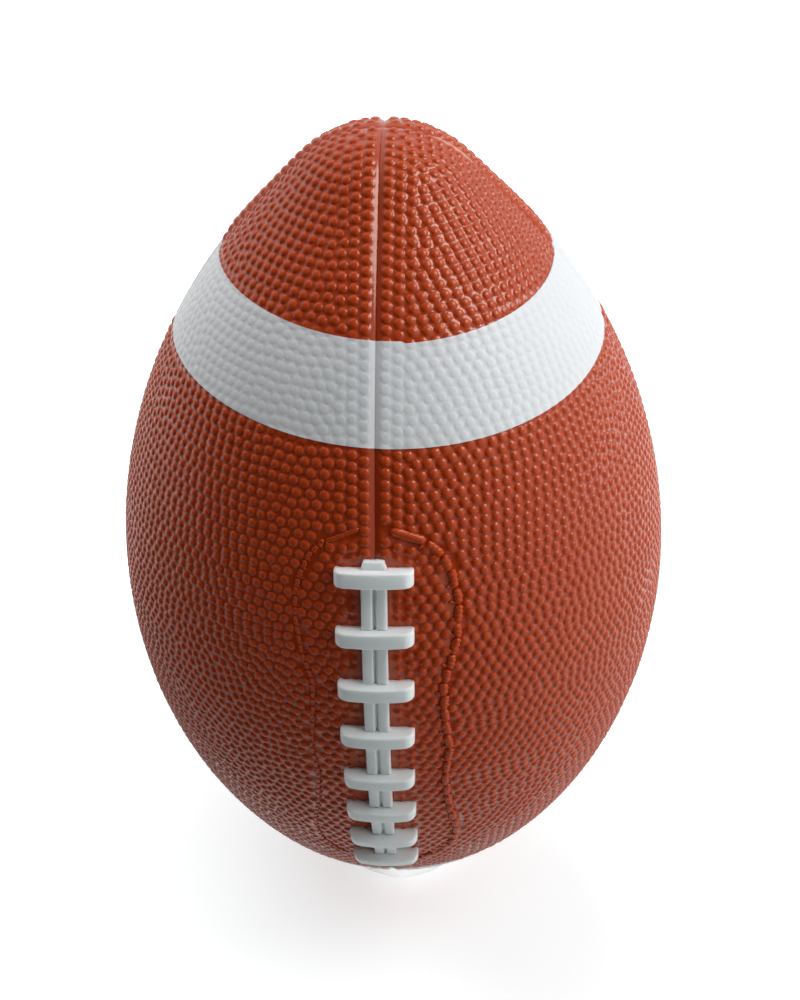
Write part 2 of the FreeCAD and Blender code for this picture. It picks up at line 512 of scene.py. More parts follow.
def triangulate(
    flat: Array,
    outline: Array,
    rings: list[Array],
    owner: Array,
    lines: list[Array] | None = None,
) -> Array:
    """Fill a flat outline with triangles.

    Args:
        flat: Places of the points in the plane, one row each.
        outline: Point numbers round the outline.
        rings: Point numbers round each closed ring that the triangles have to respect.
        owner: Number of the ring that each point belongs to, or -1.
        lines: Point numbers along each open line that the triangles have to respect.

    Returns:
        Point numbers of the triangles, without those that lie inside a ring.
    """
    edges: list[tuple[int, int]] = []
    for loop in [outline] + rings:
        edges += zip(loop.tolist(), np.roll(loop, -1).tolist())
    for line in lines or []:
        edges += zip(line[:-1].tolist(), line[1:].tolist())
    result = delaunay_2d_cdt([Vector(p) for p in flat.tolist()], edges, [], 1, 1e-6, False)
    if len(result[0]) != len(flat):
        raise ValueError(f"triangulation changed {len(flat)} points to {len(result[0])}")
    faces = np.array(result[2])
    owners = owner[faces]
    within = (owners[:, 0] >= 0) & (owners[:, 0] == owners[:, 1]) & (owners[:, 0] == owners[:, 2])
    return faces[~within]


@dataclass
class Pebbles:
    """Places and sizes of the pebbles of one panel, in millimetres and radians."""

    along: Array
    turn: Array
    foot: Array
    height: Array


@dataclass(frozen=True)
class PebbleGrain:
    """Sizes of the pebbled grain, in millimetres, and how its rows settle between the seams."""

    form: BallForm
    pitch: float = 3.0
    seam_pitch: float = 2.82
    seam_offset: float = 2.5
    seam_columns: int = 2
    seam_flat: float = 1.1
    foot: float = 1.46
    height: float = 0.57
    flat_between: float = 0.06
    scatter: float = 0.13
    push_reach: float = 1.35
    hole_reach: float = 0.9
    crowded: float = 0.8
    too_near: float = 0.72
    gain: Pair = (0.1, 0.55)
    hole_trials: int = 12000
    settling_rounds: int = 70
    mending_rounds: tuple[int, ...] = (20, 35, 50)

    def fixed_columns(self) -> tuple[Array, Array]:
        """Set the even columns of pebbles that run beside both seams of a panel.

        Returns:
            Places along the ball and turns from the panel's first seam.
        """
        alongs: list[Array] = []
        turns: list[Array] = []
        count = int(self.form.reach / self.seam_pitch)
        for column in range(self.seam_columns):
            along = (np.arange(-count, count + 1) + 0.5 * column) * self.seam_pitch
            offset = self.seam_offset + column * self.pitch * 0.98
            across = self.form.outline(along)[0]
            wide = (np.abs(along) < self.form.reach) & (across * QUARTER > 2.0 * offset + 0.92 * self.pitch)
            along = along[wide]
            turn = offset / across[wide]
            alongs += [along, along]
            turns += [turn, QUARTER - turn]
        return np.concatenate(alongs), np.concatenate(turns)

    def loose_rows(self, rng: np.random.Generator) -> tuple[Array, Array]:
        """Scatter staggered rows of pebbles over the middle of a panel.

        Args:
            rng: Source of the scatter.

        Returns:
            Places along the ball and turns from the panel's first seam.
        """
        alongs: list[Array] = []
        turns: list[Array] = []
        step = self.pitch * math.sin(math.pi / 3.0)
        count = int(self.form.reach / step)
        margin = self.seam_offset + (self.seam_columns - 0.1) * self.pitch
        for row in range(-count, count + 1):
            across = float(self.form.outline(np.array([row * step]))[0][0])
            room = across * QUARTER - 2.0 * margin
            if room < 0.0:
                continue
            number = int(room / self.pitch) + 1
            spread = (np.arange(number) + 0.5 + 0.25 * (-1) ** row) / number * room + margin
            alongs.append(np.full(number, row * step))
            turns.append(spread / across)
        along = np.concatenate(alongs)
        turn = np.concatenate(turns)
        across = self.form.outline(along)[0]
        along = along + rng.normal(0.0, self.scatter * self.pitch, len(along))
        turn = turn + rng.normal(0.0, self.scatter * self.pitch, len(turn)) / across
        return along, turn

    def push(self, along: Array, turn: Array) -> tuple[Array, Array, Array]:
        """Work out how near neighbours push each other apart; the places come sorted along the ball.

        Args:
            along: Places along the ball, in rising order.
            turn: Turns round it.

        Returns:
            Push along the ball, push round it and the distance to the nearest neighbour.
        """
        limit = self.push_reach * self.pitch
        across = self.form.outline(along)[0]
        push_along = np.zeros(len(along))
        push_round = np.zeros(len(along))
        nearest = np.full(len(along), limit)
        for step in range(1, len(along)):
            rise = along[step:] - along[:-step]
            if rise.min() > limit:
                break
            side = (turn[step:] - turn[:-step]) * 0.5 * (across[step:] + across[:-step])
            distance = np.maximum(np.hypot(rise, side), 0.05)
            force = np.maximum(1.0 - distance / limit, 0.0) / distance
            push_along[step:] += force * rise
            push_along[:-step] -= force * rise
            push_round[step:] += force * side
            push_round[:-step] -= force * side
            np.minimum(nearest[step:], distance, out=nearest[step:])
            np.minimum(nearest[:-step], distance, out=nearest[:-step])
        return push_along, push_round, nearest

    def holes(self, along: Array, turn: Array, rng: np.random.Generator) -> tuple[Array, Array]:
        """Find gaps between the pebbles that are wide enough for another one.

        Args:
            along: Places of the pebbles along the ball.
            turn: Their turns.
            rng: Source of the trial places.

        Returns:
            Places along the ball and turns of the pebbles to add.
        """
        margin = self.seam_offset + 0.1
        try_along = np.sort(rng.uniform(-self.form.reach, self.form.reach, self.hole_trials))
        across = self.form.outline(try_along)[0]
        room = across * QUARTER - 2.0 * margin
        try_along, across, room = try_along[room > 0.0], across[room > 0.0], room[room > 0.0]
        try_turn = (margin + rng.uniform(0.0, 1.0, len(room)) * room) / across
        order = np.argsort(along, kind="stable")
        sorted_along, sorted_turn = along[order], turn[order]
        found: list[Pair] = []
        limit = self.hole_reach * self.pitch
        first = np.searchsorted(sorted_along, try_along - limit)
        last = np.searchsorted(sorted_along, try_along + limit)
        for number, (here, here_turn, reach) in enumerate(zip(try_along, try_turn, across)):
            near = slice(first[number], last[number])
            rise = sorted_along[near] - here
            side = (sorted_turn[near] - here_turn) * reach
            if (rise * rise + side * side < limit * limit).any():
                continue
            if any(math.hypot(a - here, (t - here_turn) * reach) < limit for a, t in found):
                continue
            found.append((here, here_turn))
        places = np.array(found).reshape(-1, 2)
        return places[:, 0], places[:, 1]

    def off_spots(self, along: Array, turn: Array, spots: Array) -> Array:
        """Tell which places lie off the smooth spots.

        Args:
            along: Places along the ball.
            turn: Turns round it.
            spots: Rows of along, turn and radius.

        Returns:
            True for each place that is clear of all spots.
        """
        across = self.form.outline(along)[0]
        free = np.ones(len(along), dtype=bool)
        for spot_along, spot_turn, radius in spots:
            free &= np.hypot(along - spot_along, (turn - spot_turn) * across) > radius
        return free

    def settle(self, keep_off: Array, walls: Array, rng: np.random.Generator) -> Pebbles:
        """Lay out one panel's pebbles.

        Args:
            keep_off: Rows of along, turn and radius of the spots that stay smooth.
            walls: Rows like these of spots that the pebbles also settle round.
            rng: Source of the scatter.

        Returns:
            Places and sizes of the pebbles.
        """
        fixed_along, fixed_turn = self.fixed_columns()
        loose_along, loose_turn = self.loose_rows(rng)
        along = np.concatenate((fixed_along, loose_along))
        turn = np.concatenate((fixed_turn, loose_turn))
        fixed = np.arange(len(along)) < len(fixed_along)
        free = self.off_spots(along, turn, walls)
        along, turn, fixed = along[free], turn[free], fixed[free]
        ghosts = len(walls)
        along = np.concatenate((along, walls[:, 0]))
        turn = np.concatenate((turn, walls[:, 1]))
        fixed = np.concatenate((fixed, np.ones(ghosts, dtype=bool)))
        ghost = np.arange(len(along)) >= len(along) - ghosts
        for turn_number in range(self.settling_rounds):
            order = np.argsort(along, kind="stable")
            along, turn, fixed, ghost = along[order], turn[order], fixed[order], ghost[order]
            push_along, push_round, nearest = self.push(along, turn)
            calm = 1.0 - turn_number / self.settling_rounds
            gain = np.where(fixed, 0.0, self.gain[1] * calm + self.gain[0])
            along = along + gain * push_along
            turn = turn + gain * push_round / np.maximum(self.form.outline(along)[0], 2.0)
            if turn_number in self.mending_rounds:
                keep = fixed | (nearest > self.crowded * self.pitch) | (rng.random(len(along)) < 0.5)
                new_along, new_turn = self.holes(along[keep], turn[keep], rng)
                along = np.concatenate((along[keep], new_along))
                turn = np.concatenate((turn[keep], new_turn))
                fixed = np.concatenate((fixed[keep], np.zeros(len(new_along), dtype=bool)))
                ghost = np.concatenate((ghost[keep], np.zeros(len(new_along), dtype=bool)))
        order = np.argsort(along, kind="stable")
        along, turn, ghost = along[order], turn[order], ghost[order]
        nearest = self.push(along, turn)[2]
        across = self.form.outline(along)[0]
        room = np.minimum(turn, QUARTER - turn) * across
        good = ~ghost & (nearest > self.too_near * self.pitch) & (room > self.seam_offset - 0.15)
        good &= self.off_spots(along, turn, np.concatenate((keep_off, walls)))
        along, turn, nearest = along[good], turn[good], nearest[good]
        room, across = room[good], across[good]
        between = np.interp(across, (5.0, 14.0), (4.0, 1.0)) * self.flat_between
        foot = np.minimum(self.foot * rng.uniform(0.96, 1.04, len(along)), 0.5 * (nearest - between))
        foot = np.minimum(foot, room - self.seam_flat) * np.interp(across, (4.0, 9.0), (0.88, 1.0))
        height = self.height * np.minimum(foot / self.foot, 1.0) * rng.uniform(0.92, 1.08, len(along))
        return Pebbles(along, turn, foot, height)


class Side(Enum):
    """Side of the lace seam, as seen facing the lace."""

    RIGHT = 1.0
    LEFT = -1.0


class BallEnd(Enum):
    """End of the ball that a band goes round."""

    UPPER = 1.0
    LOWER = -1.0


@dataclass
class CoverPanel:
    """One quarter of the rubber cover, from seam to seam, with its pebbles as real bumps."""

    name: str
    start: float
    seed: int
    form: BallForm
    keep_off: Array = field(default_factory=lambda: np.zeros((0, 3)))
    walls: Array = field(default_factory=lambda: np.zeros((0, 3)))
    valve_turn: float | None = None
    thickness: float = 1.6
    seam_step: float = 1.4
    seam_rows: tuple[float, ...] = (0.1, 0.5, 0.95)
    seam_depth: float = 0.6
    seam_reach: float = 1.3
    seam_line: float = -0.66
    lip_turn: float | None = None
    lip_rise: float = 0.55
    lip_shape: Pairs = ((0.1, 0.0), (0.5, 0.6), (2.5, 1.0), (6.0, 1.0), (14.0, 0.0))
    lip_start: float = 116.0
    bands: list["WhiteBand"] = field(default_factory=list)
    film_press: float = 0.55
    lace_side: Side | None = None
    lace_reach: float = 62.0
    lace_free: float = 4.6
    lace_shrink: Pair = (5.2, 10.2)
    valve_rows: Pairs = ((5.0, 0.3), (5.5, 0.42), (6.3, 0.4), (7.0, 0.0))
    valve_corners: int = 40
    ring_corners: int = 8
    dome_rings: Pairs = ((0.84, 0.46), (0.53, 0.86))
    inner_reach: float = 160.0
    inner_step: float = 8.0
    inner_columns: int = 8
    top: Sheet | None = None
    crisp: Array | None = None

    def flat_places(self, along: Array, turn: Array) -> Array:
        """Unroll places of the panel into a plane, in millimetres."""
        return np.column_stack((self.form.outline(along)[0] * (turn - QUARTER / 2.0), along))

    def seam_points(self) -> tuple[Array, Array, Array]:
        """Go once round the panel's edge, up its second seam and down its first.

        Returns:
            Places along the ball, turns and lifts of the edge points.
        """
        steps = int(round(2.0 * self.form.reach / self.seam_step))
        along = np.linspace(-self.form.reach, self.form.reach, steps + 1)
        inner = along[1:-1]
        edge_along = np.concatenate((along[:1], inner, along[-1:], inner[::-1]))
        turn = np.concatenate(
            ([QUARTER / 2.0], np.full(len(inner), QUARTER), [QUARTER / 2.0], np.zeros(len(inner)))
        )
        return edge_along, turn, np.full(len(edge_along), self.seam_line)

    def valley(self, along: Array, turn: Array) -> Array:
        """Give the lift of the panel's plain skin: a shallow V at both seams, and a lip beside one of them.

        Args:
            along: Places along the ball.
            turn: Turns from the panel's first seam.

        Returns:
            Lifts in millimetres.
        """
        across = self.form.outline(along)[0]
        off_seam = np.minimum(turn, QUARTER - turn) * across
        lift = -self.seam_depth * np.maximum(1.0 - off_seam / self.seam_reach, 0.0)
        if self.lip_turn is None:
            return lift
        rise = np.interp(np.abs(turn - self.lip_turn) * across, *zip(*self.lip_shape))
        ends = (self.lip_start, self.lip_start + 6.0, self.form.reach - 26.0, self.form.reach - 8.0)
        return lift + self.lip_rise * rise * np.interp(along, ends, (0.0, 1.0, 1.0, 0.0))

    def valley_lines(self) -> list[tuple[Array, Array]]:
        """Set the lines of points that shape the shallow valley beside both seams.

        Returns:
            Places along the ball and turns of each line.
        """
        lines: list[tuple[Array, Array]] = []
        steps = int(round(2.0 * self.form.reach / self.seam_step))
        for offset in self.seam_rows:
            along = np.linspace(-self.form.reach, self.form.reach, steps + 1)[1:-1]
            across = self.form.outline(along)[0]
            wide = across * QUARTER / 2.0 > offset + 0.5
            turn = offset / across[wide]
            lines += [(along[wide], turn), (along[wide], QUARTER - turn)]
        return lines

    def circle(self, radius: float) -> tuple[Array, Array]:
        """Set points on a circle round the valve."""
        angle = np.arange(self.valve_corners) * FULL_TURN / self.valve_corners
        along = radius * np.sin(angle)
        return along, self.valve_turn + radius * np.cos(angle) / self.form.outline(along)[0]

    def beside_lace(self, pebbles: Pebbles) -> Pebbles:
        """Drop the pebbles under the lace and shrink those beside it.

        Args:
            pebbles: Pebbles of the whole panel.

        Returns:
            The pebbles as the mould has them.
        """
        if self.lace_side is None:
            return pebbles
        across = self.form.outline(pebbles.along)[0]
        turn = pebbles.turn if self.lace_side is Side.RIGHT else QUARTER - pebbles.turn
        beside = np.abs(pebbles.along) < self.lace_reach
        share = np.interp(turn * across, self.lace_shrink, (0.55, 1.0))
        share = np.where(beside, share, 1.0)
        keep = ~beside | (turn * across > self.lace_free)
        return Pebbles(
            pebbles.along[keep],
            pebbles.turn[keep],
            (pebbles.foot * share)[keep],
            (pebbles.height * share)[keep],
        )

    def build_top(self) -> Sheet:
        """Build the panel's outer skin.

        Returns:
            The skin, with turns measured from the lace seam.
        """
        rng = np.random.default_rng(self.seed)
        pebbles = self.beside_lace(PebbleGrain(self.form).settle(self.keep_off, self.walls, rng))
        for band in self.bands:
            covered = band.covers(pebbles.along, pebbles.turn + self.start, pebbles.foot)
            pebbles.height = np.where(covered, self.film_press * pebbles.height, pebbles.height)
        edge = self.seam_points()
        groups = [edge]
        owner = [np.full(len(edge[0]), -1)]
        count = len(edge[0])
        lines: list[Array] = []
        for along, turn in self.valley_lines():
            groups.append((along, turn, self.valley(along, turn)))
            owner.append(np.full(len(along), -1))
            lines.append(np.arange(count, count + len(along)))
            count += len(along)
        rings: list[Array] = []
        if self.valve_turn is not None:
            for number, (radius, lift) in enumerate(self.valve_rows):
                along, turn = self.circle(radius)
                groups.append((along, turn, np.full(len(along), lift)))
                owner.append(np.full(len(along), 0 if number == 0 else -1))
                if number == 0:
                    rings.append(np.arange(count, count + len(along)))
                count += len(along)
        number = len(pebbles.along)
        corner = np.arange(self.ring_corners) * FULL_TURN / self.ring_corners
        angle = corner[None, :] + rng.uniform(0.0, FULL_TURN, number)[:, None]

        def ring(share: float) -> tuple[Array, Array]:
            """Give the ring of points at a share of each pebble's foot radius."""
            along = pebbles.along[:, None] + share * pebbles.foot[:, None] * np.sin(angle)
            across = self.form.outline(along)[0]
            turn = pebbles.turn[:, None] + share * pebbles.foot[:, None] * np.cos(angle) / across
            return along.ravel(), turn.ravel()

        foot = ring(1.0)
        foot_first = count
        groups.append((*foot, self.valley(*foot)))
        owner.append(np.repeat(np.arange(number) + 1, self.ring_corners))
        corners = np.arange(number * self.ring_corners).reshape(number, -1)
        below = corners + foot_first
        rings += list(below)
        along, turn, lift = (np.concatenate(column) for column in zip(*groups))
        self.crisp = np.concatenate(owner)
        flat = self.flat_places(along, turn)
        base = triangulate(flat, np.arange(len(edge[0])), rings, self.crisp, lines)
        self.crisp = np.where(self.crisp > 0, -1, self.crisp)
        faces = [base]
        first = len(along)
        parts = [(along, turn, lift)]
        for share, rise in self.dome_rings:
            above = corners + first
            dome = ring(share)
            height = np.repeat(pebbles.height * rise, self.ring_corners)
            parts.append((*dome, height + self.valley(*dome)))
            faces.append(ring_faces(below, above))
            below = above
            first += corners.size
        crown = np.repeat(first + np.arange(number)[:, None], self.ring_corners, axis=1)
        plain = self.valley(pebbles.along, pebbles.turn)
        parts.append((pebbles.along, pebbles.turn, pebbles.height + plain))
        faces.append(np.stack((below, np.roll(below, -1, axis=1), crown), axis=-1).reshape(-1, 3))
        along, turn, lift = (np.concatenate(column) for column in zip(*parts))
        log.info("%s: %d pebbles", self.name, number)
        return Sheet(along, turn + self.start, lift, np.concatenate(faces))

    def build_inner(self) -> tuple[Sheet, list[Array]]:
        """Build the panel's smooth inner skin, which rests on the thread layer.

        Returns:
            The skin, with turns from the lace seam, and the point numbers of its edge loops.
        """
        along, turn, _ = self.seam_points()
        loops = [np.arange(len(along))]
        owner = [np.full(len(along), -1)]
        alongs, turns = [along], [turn]
        count = len(along)
        if self.valve_turn is not None:
            hole = self.circle(self.valve_rows[0][0])
            alongs.append(hole[0])
            turns.append(hole[1])
            owner.append(np.zeros(len(hole[0]), dtype=int))
            loops.append(np.arange(count, count + len(hole[0])))
        rows = np.arange(-self.inner_reach, self.inner_reach + 1.0, self.inner_step)
        columns = np.linspace(0.15, 0.85, self.inner_columns) * QUARTER
        grid_along, grid_turn = (g.ravel() for g in np.meshgrid(rows, columns))
        if self.valve_turn is not None:
            gap = np.hypot(grid_along, (grid_turn - self.valve_turn) * self.form.radius)
            clear = gap > self.inner_step
            grid_along, grid_turn = grid_along[clear], grid_turn[clear]
        alongs.append(grid_along)
        turns.append(grid_turn)
        owner.append(np.full(len(grid_along), -1))
        along = np.concatenate(alongs)
        turn = np.concatenate(turns)
        faces = triangulate(self.flat_places(along, turn), loops[0], loops[1:], np.concatenate(owner))
        lift = np.full(len(along), -self.thickness)
        return Sheet(along, turn + self.start, lift, faces[:, ::-1]), loops

    def build(self) -> Object:
        """Build the closed panel: outer skin, inner skin and the walls between their edges.

        Returns:
            The panel's object.
        """
        self.top = self.build_top()
        inner, loops = self.build_inner()
        parts = [self.top, inner]
        edge = len(self.seam_points()[0])
        valley = sum(len(along) for along, _ in self.valley_lines())
        starts = [0, edge + valley]
        for start, loop in zip(starts, loops):
            outer = np.arange(start, start + len(loop))
            along = np.concatenate((self.top.along[outer], inner.along[loop]))
            turn = np.concatenate((self.top.turn[outer], inner.turn[loop]))
            lift = np.concatenate((self.top.lift[outer], inner.lift[loop]))
            here = np.arange(len(loop))
            if start == 0:
                here = here[::-1]
            parts.append(Sheet(along, turn, lift, ring_faces(here, here + len(loop))))
        whole = Sheet.joined(parts)
        points = self.form.place(whole.along, whole.turn, whole.lift)
        # The outer skin takes most of the bake map; the hidden skins share a narrow strip beside it.
        maps = []
        for number, part in enumerate(parts):
            flat = self.flat_places(part.along, part.turn - self.start)
            across = flat[:, 0] / (self.form.radius * QUARTER) + 0.5
            up = flat[:, 1] / (2.2 * self.form.reach) + 0.5
            if number > 0:
                across = 0.97 + 0.03 * across
            else:
                across = 0.96 * across
            maps.append(np.column_stack((across, up))[part.faces.ravel()])
        crisp = np.full(len(points), -1)
        crisp[:len(self.crisp)] = self.crisp
        name = f"{self.name}_pebbled"
        return mesh_object(name, points, whole.faces, np.concatenate(maps), whole.lift, crisp)


@dataclass
class StitchLine:
    """Stitches moulded beside the lace: short rope-like ridges along a line, from seam to seam."""

    name: str
    side: Side
    form: BallForm
    rubber: Material
    seed: int
    width: float
    height: float
    length: float
    off_pebbles: float
    gap: float = 0.1
    first_length: float = 9.5
    loop_reach: float = 0.95
    loop_share: float = 0.36
    strand_pitch: float = 1.3
    strand_depth: float = 0.13
    line: Pairs = (
        (3.7, 68.1), (12.9, 64.1), (16.6, 60.1), (19.0, 54.7), (20.4, 49.7), (20.6, 42.3),
        (19.7, 33.9), (16.9, 24.0), (17.5, 11.6), (18.7, 1.2), (17.5, -11.1), (18.9, -27.0),
        (20.6, -36.4), (21.1, -44.3), (19.8, -53.2), (15.9, -61.1), (9.0, -66.6), (3.7, -69.5),
    )
    rings: int = 19
    corners: int = 12

    def path(self, step: float) -> Array:
        """Divide the line into even steps.

        Args:
            step: Length of a step in millimetres.

        Returns:
            Rows of distance from the lace seam and place along the ball.
        """
        line = np.array(self.line)
        gone = np.concatenate(([0.0], np.cumsum(np.hypot(*np.diff(line, axis=0).T))))
        at = np.arange(0.0, gone[-1], step)
        return np.column_stack([np.interp(at, gone, line[:, axis]) for axis in (0, 1)])

    def spots(self, step: float = 1.1) -> Array:
        """Give the spots that the pebbles leave free for the stitches, as along, turn and radius."""
        path = self.path(step)
        turn = path[:, 0] / self.form.outline(path[:, 1])[0]
        if self.side is Side.LEFT:
            turn = QUARTER - turn
        return np.column_stack((path[:, 1], turn, np.full(len(path), self.off_pebbles)))

    def ridge(
        self, piece: Array, width: float, height: float, rng: np.random.Generator
    ) -> tuple[Array, Array, Array]:
        """Shape one stitch along a short piece of the line.

        Args:
            piece: Evenly spaced rows of distance from the seam and place along the ball.
            width: Width of the stitch.
            height: Height of the stitch.
            rng: Source of its small irregularities.

        Returns:
            Distances from the seam, places along the ball and lifts of its points, ring by ring.
        """
        share = np.linspace(-1.0, 1.0, len(piece))
        heading = np.gradient(piece, axis=0)
        heading /= np.maximum(np.hypot(*heading.T), 1e-6)[:, None]
        normal = np.column_stack((-heading[:, 1], heading[:, 0]))
        taper = np.sqrt(np.maximum(1.0 - np.abs(share) ** 6.0, 0.0)) + 0.02
        knob = 1.0 + 0.25 * np.exp(-((share + 0.75) / 0.2) ** 2)
        half = 0.5 * width * taper * rng.uniform(0.92, 1.08)
        rise = height * taper * knob * rng.uniform(0.88, 1.08)
        sway = normal * (0.2 * width * share * rng.uniform(-1.0, 1.0))[:, None]
        angle = np.arange(self.corners) * FULL_TURN / self.corners
        gone = np.concatenate(([0.0], np.cumsum(np.hypot(*np.diff(piece, axis=0).T))))
        twist = 2.0 * angle[None, :] + FULL_TURN * gone[:, None] / self.strand_pitch
        strands = 1.0 + self.strand_depth * np.sin(twist + rng.uniform(0.0, FULL_TURN))
        off = half[:, None] * np.cos(angle)[None, :] * strands
        places = (piece + sway)[:, None, :] + normal[:, None, :] * off[:, :, None]
        lift = rise[:, None] * np.sin(angle)[None, :] * strands
        return places[..., 0].ravel(), places[..., 1].ravel(), lift.ravel()

    def build(self) -> None:
        """Build the row of stitches as one piece, which rides on the ball."""
        rng = np.random.default_rng(self.seed)
        fine = 0.1
        path = self.path(fine)
        columns: list[tuple[Array, Array, Array]] = []
        begin = 0
        length = self.first_length
        while begin + int(length / fine) < len(path):
            chosen = np.linspace(begin, begin + int(length / fine), self.rings).astype(int)
            columns.append(self.ridge(path[chosen], self.width, self.height, rng))
            begin = chosen[-1] + int(self.gap / fine)
            heading = path[chosen[-1]] - path[chosen[-2]]
            inward = np.array((heading[1], -heading[0])) / np.hypot(*heading)
            slant = inward - 0.6 * heading / np.hypot(*heading)
            reach = np.linspace(0.35, self.loop_reach, self.rings)[:, None] * self.width
            loop = path[chosen[-1]] + slant * reach
            columns.append(self.ridge(loop, self.loop_share * self.width, 0.6 * self.height, rng))
            length = self.length * rng.uniform(0.85, 1.15)
        across, along, lift = (np.concatenate(c) for c in zip(*columns))
        turn = self.side.value * across / self.form.outline(along)[0]
        points = self.form.place(along, turn, lift)
        grid = np.arange(self.rings * self.corners).reshape(self.rings, self.corners)
        sides = ring_faces(grid[:-1], grid[1:])[:, ::-1]
        single = np.concatenate((sides, fan(grid[0]), fan(grid[-1])[:, ::-1]))
        if self.side is Side.RIGHT:
            single = single[:, ::-1]
        shifts = np.arange(len(columns)) * grid.size
        faces = np.concatenate([single + shift for shift in shifts])
        piece = mesh_object(self.name, points, faces, relief=lift)
        piece.data.materials.append(self.rubber)
        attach(piece, "ball")
        log.info("%s: %d ridges", self.name, len(columns))


@dataclass
class Cover:
    """The ball's cover: four panels that meet at seams, in two of which a line of stitches shows."""

    form: BallForm
    rubber: Material
    bands: list["WhiteBand"]
    valve_clear: float = 8.4
    collar_radius: float = 6.4
    collar_clear: float = 2.0
    panels: list[CoverPanel] = field(default_factory=list)

    def build(self) -> None:
        """Build and dress the four panels."""
        self.panels = [
            CoverPanel("panel_front_right", 0.0, 11, self.form, lace_side=Side.RIGHT),
            CoverPanel("panel_back_right", QUARTER, 12, self.form, valve_turn=QUARTER / 2.0, lip_turn=0.0),
            CoverPanel("panel_back_left", 2.0 * QUARTER, 13, self.form, lip_turn=QUARTER),
            CoverPanel("panel_front_left", 3.0 * QUARTER, 14, self.form, lace_side=Side.LEFT),
        ]
        stitches = [
            StitchLine("stitches_right", Side.RIGHT, self.form, self.rubber, 21, 2.3, 0.9, 4.8, 1.5),
            StitchLine("stitches_left", Side.LEFT, self.form, self.rubber, 22, 1.2, 0.45, 2.6, 1.2),
        ]
        self.panels[0].keep_off = stitches[0].spots()
        self.panels[3].keep_off = stitches[1].spots()
        valve = self.panels[1]
        spots = [(0.0, valve.valve_turn, self.valve_clear)]
        spots += [(*place, self.collar_clear) for place in zip(*valve.circle(self.collar_radius))]
        valve.walls = np.array(spots)
        for line in stitches:
            line.build()
        for panel in self.panels:
            panel.bands = self.bands
            piece = panel.build()
            piece.data.materials.append(self.rubber)
            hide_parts(panel.name)
            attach(piece, "ball")
            log.info("%s: %d triangles", piece.name, len(piece.data.polygons))


@dataclass
class WhiteBand:
    """A band of white film round one end of the ball, drawn tight over the pebbles."""

    node: str
    end: BallEnd
    form: BallForm
    film: Material
    inner_edge: float = 87.3
    outer_edge: float = 112.7
    wander: float = 2.4
    wander_turn: float = math.radians(17.0)
    kink_turn: float = 0.136
    kink_step: float = 0.55
    thickness: float = 0.26
    filled: float = 0.45
    clearance: float = 0.02
    map_start: float = 82.0
    map_length: float = 45.0

    def edge_shift(self, turn: Array) -> Array:
        """Give how far the band strays along the ball as it goes round, in millimetres."""
        return self.wander * (1.0 - np.cos(2.0 * (turn - self.wander_turn)))

    def kink(self, turn: Array) -> Array:
        """Give the small step of the outer edge where the film's end laps its beginning."""
        past = np.mod(turn - self.kink_turn, FULL_TURN)
        return -self.kink_step * np.exp(-past / 0.35)

    def covers(self, along: Array, turn: Array, margin: Array) -> Array:
        """Tell which places, widened by a margin, lie under the band."""
        shift = self.edge_shift(turn)
        far = self.end.value * along
        return (far + margin > self.inner_edge + shift) & (far - margin < self.outer_edge + shift)

    def cover(self, top: Sheet) -> Sheet:
        """Cut the stretch of a panel's skin that the band covers.

        Args:
            top: Outer skin of the panel.

        Returns:
            The stretch between the band's edges.
        """
        shift = self.edge_shift(top.turn)
        far = self.end.value * top.along
        part = top.clipped(far - self.inner_edge - shift)
        shift = self.edge_shift(part.turn) + self.kink(part.turn)
        far = self.end.value * part.along
        return part.clipped(self.outer_edge + shift - far)

    def build(self, tops: list[Sheet]) -> None:
        """Build the band over the four panels.

        Args:
            tops: Outer skins of the panels.
        """
        whole = Sheet.joined([self.cover(top) for top in tops])
        along, turn, lift, faces = whole.along, whole.turn, whole.lift, whole.faces
        outer = np.where(lift > 0.0, self.filled * lift, lift) + self.thickness
        film_map = np.column_stack((
            np.mod(turn, FULL_TURN + 1e-9) / FULL_TURN,
            0.1 + 0.8 * (np.abs(along) - self.map_start) / self.map_length,
        ))[faces.ravel()]
        # The four cuts meet at the seams, so points in the same place become one.
        places = np.round(self.form.place(along, turn, lift), 7)
        joined, welded = np.unique(places, axis=0, return_inverse=True)
        welded = welded.ravel()
        count = len(joined)
        first = np.zeros(count, dtype=int)
        first[welded] = np.arange(len(along))
        faces = welded[faces]
        top_points = self.form.place(along[first], turn[first], outer[first])
        low_points = self.form.place(along[first], turn[first], lift[first] + self.clearance)
        # An edge that only one triangle uses lies on the rim, where the film's thickness shows.
        edges = np.concatenate((faces[:, :2], faces[:, 1:], faces[:, ::2][:, ::-1]))
        code = edges[:, 0].astype(np.int64) * count + edges[:, 1]
        back = edges[:, 1].astype(np.int64) * count + edges[:, 0]
        used, rim = np.unique(edges[~np.isin(code, back)], return_inverse=True)
        high = rim.reshape(-1, 2) + 2 * count
        low = high + len(used)
        walls = np.concatenate((
            np.column_stack((high[:, 1], high[:, 0], low[:, 0])),
            np.column_stack((high[:, 1], low[:, 0], low[:, 1])),
        ))
        points = np.concatenate((top_points, low_points, top_points[used], low_points[used]))
        hidden = np.concatenate((faces[:, ::-1] + count, walls))
        spread = np.mod(np.arange(3 * len(hidden)), 97) / 97.0
        hidden_map = np.column_stack((spread, np.full(len(spread), 0.97)))
        bake_map = np.concatenate((film_map, hidden_map))
        piece = mesh_object(f"{self.node}_film", points, np.concatenate((faces, hidden)), bake_map)
        piece.data.materials.append(self.film)
        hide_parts(self.node)
        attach(piece, "ball")
        log.info("%s: %d triangles", piece.name, len(piece.data.polygons))


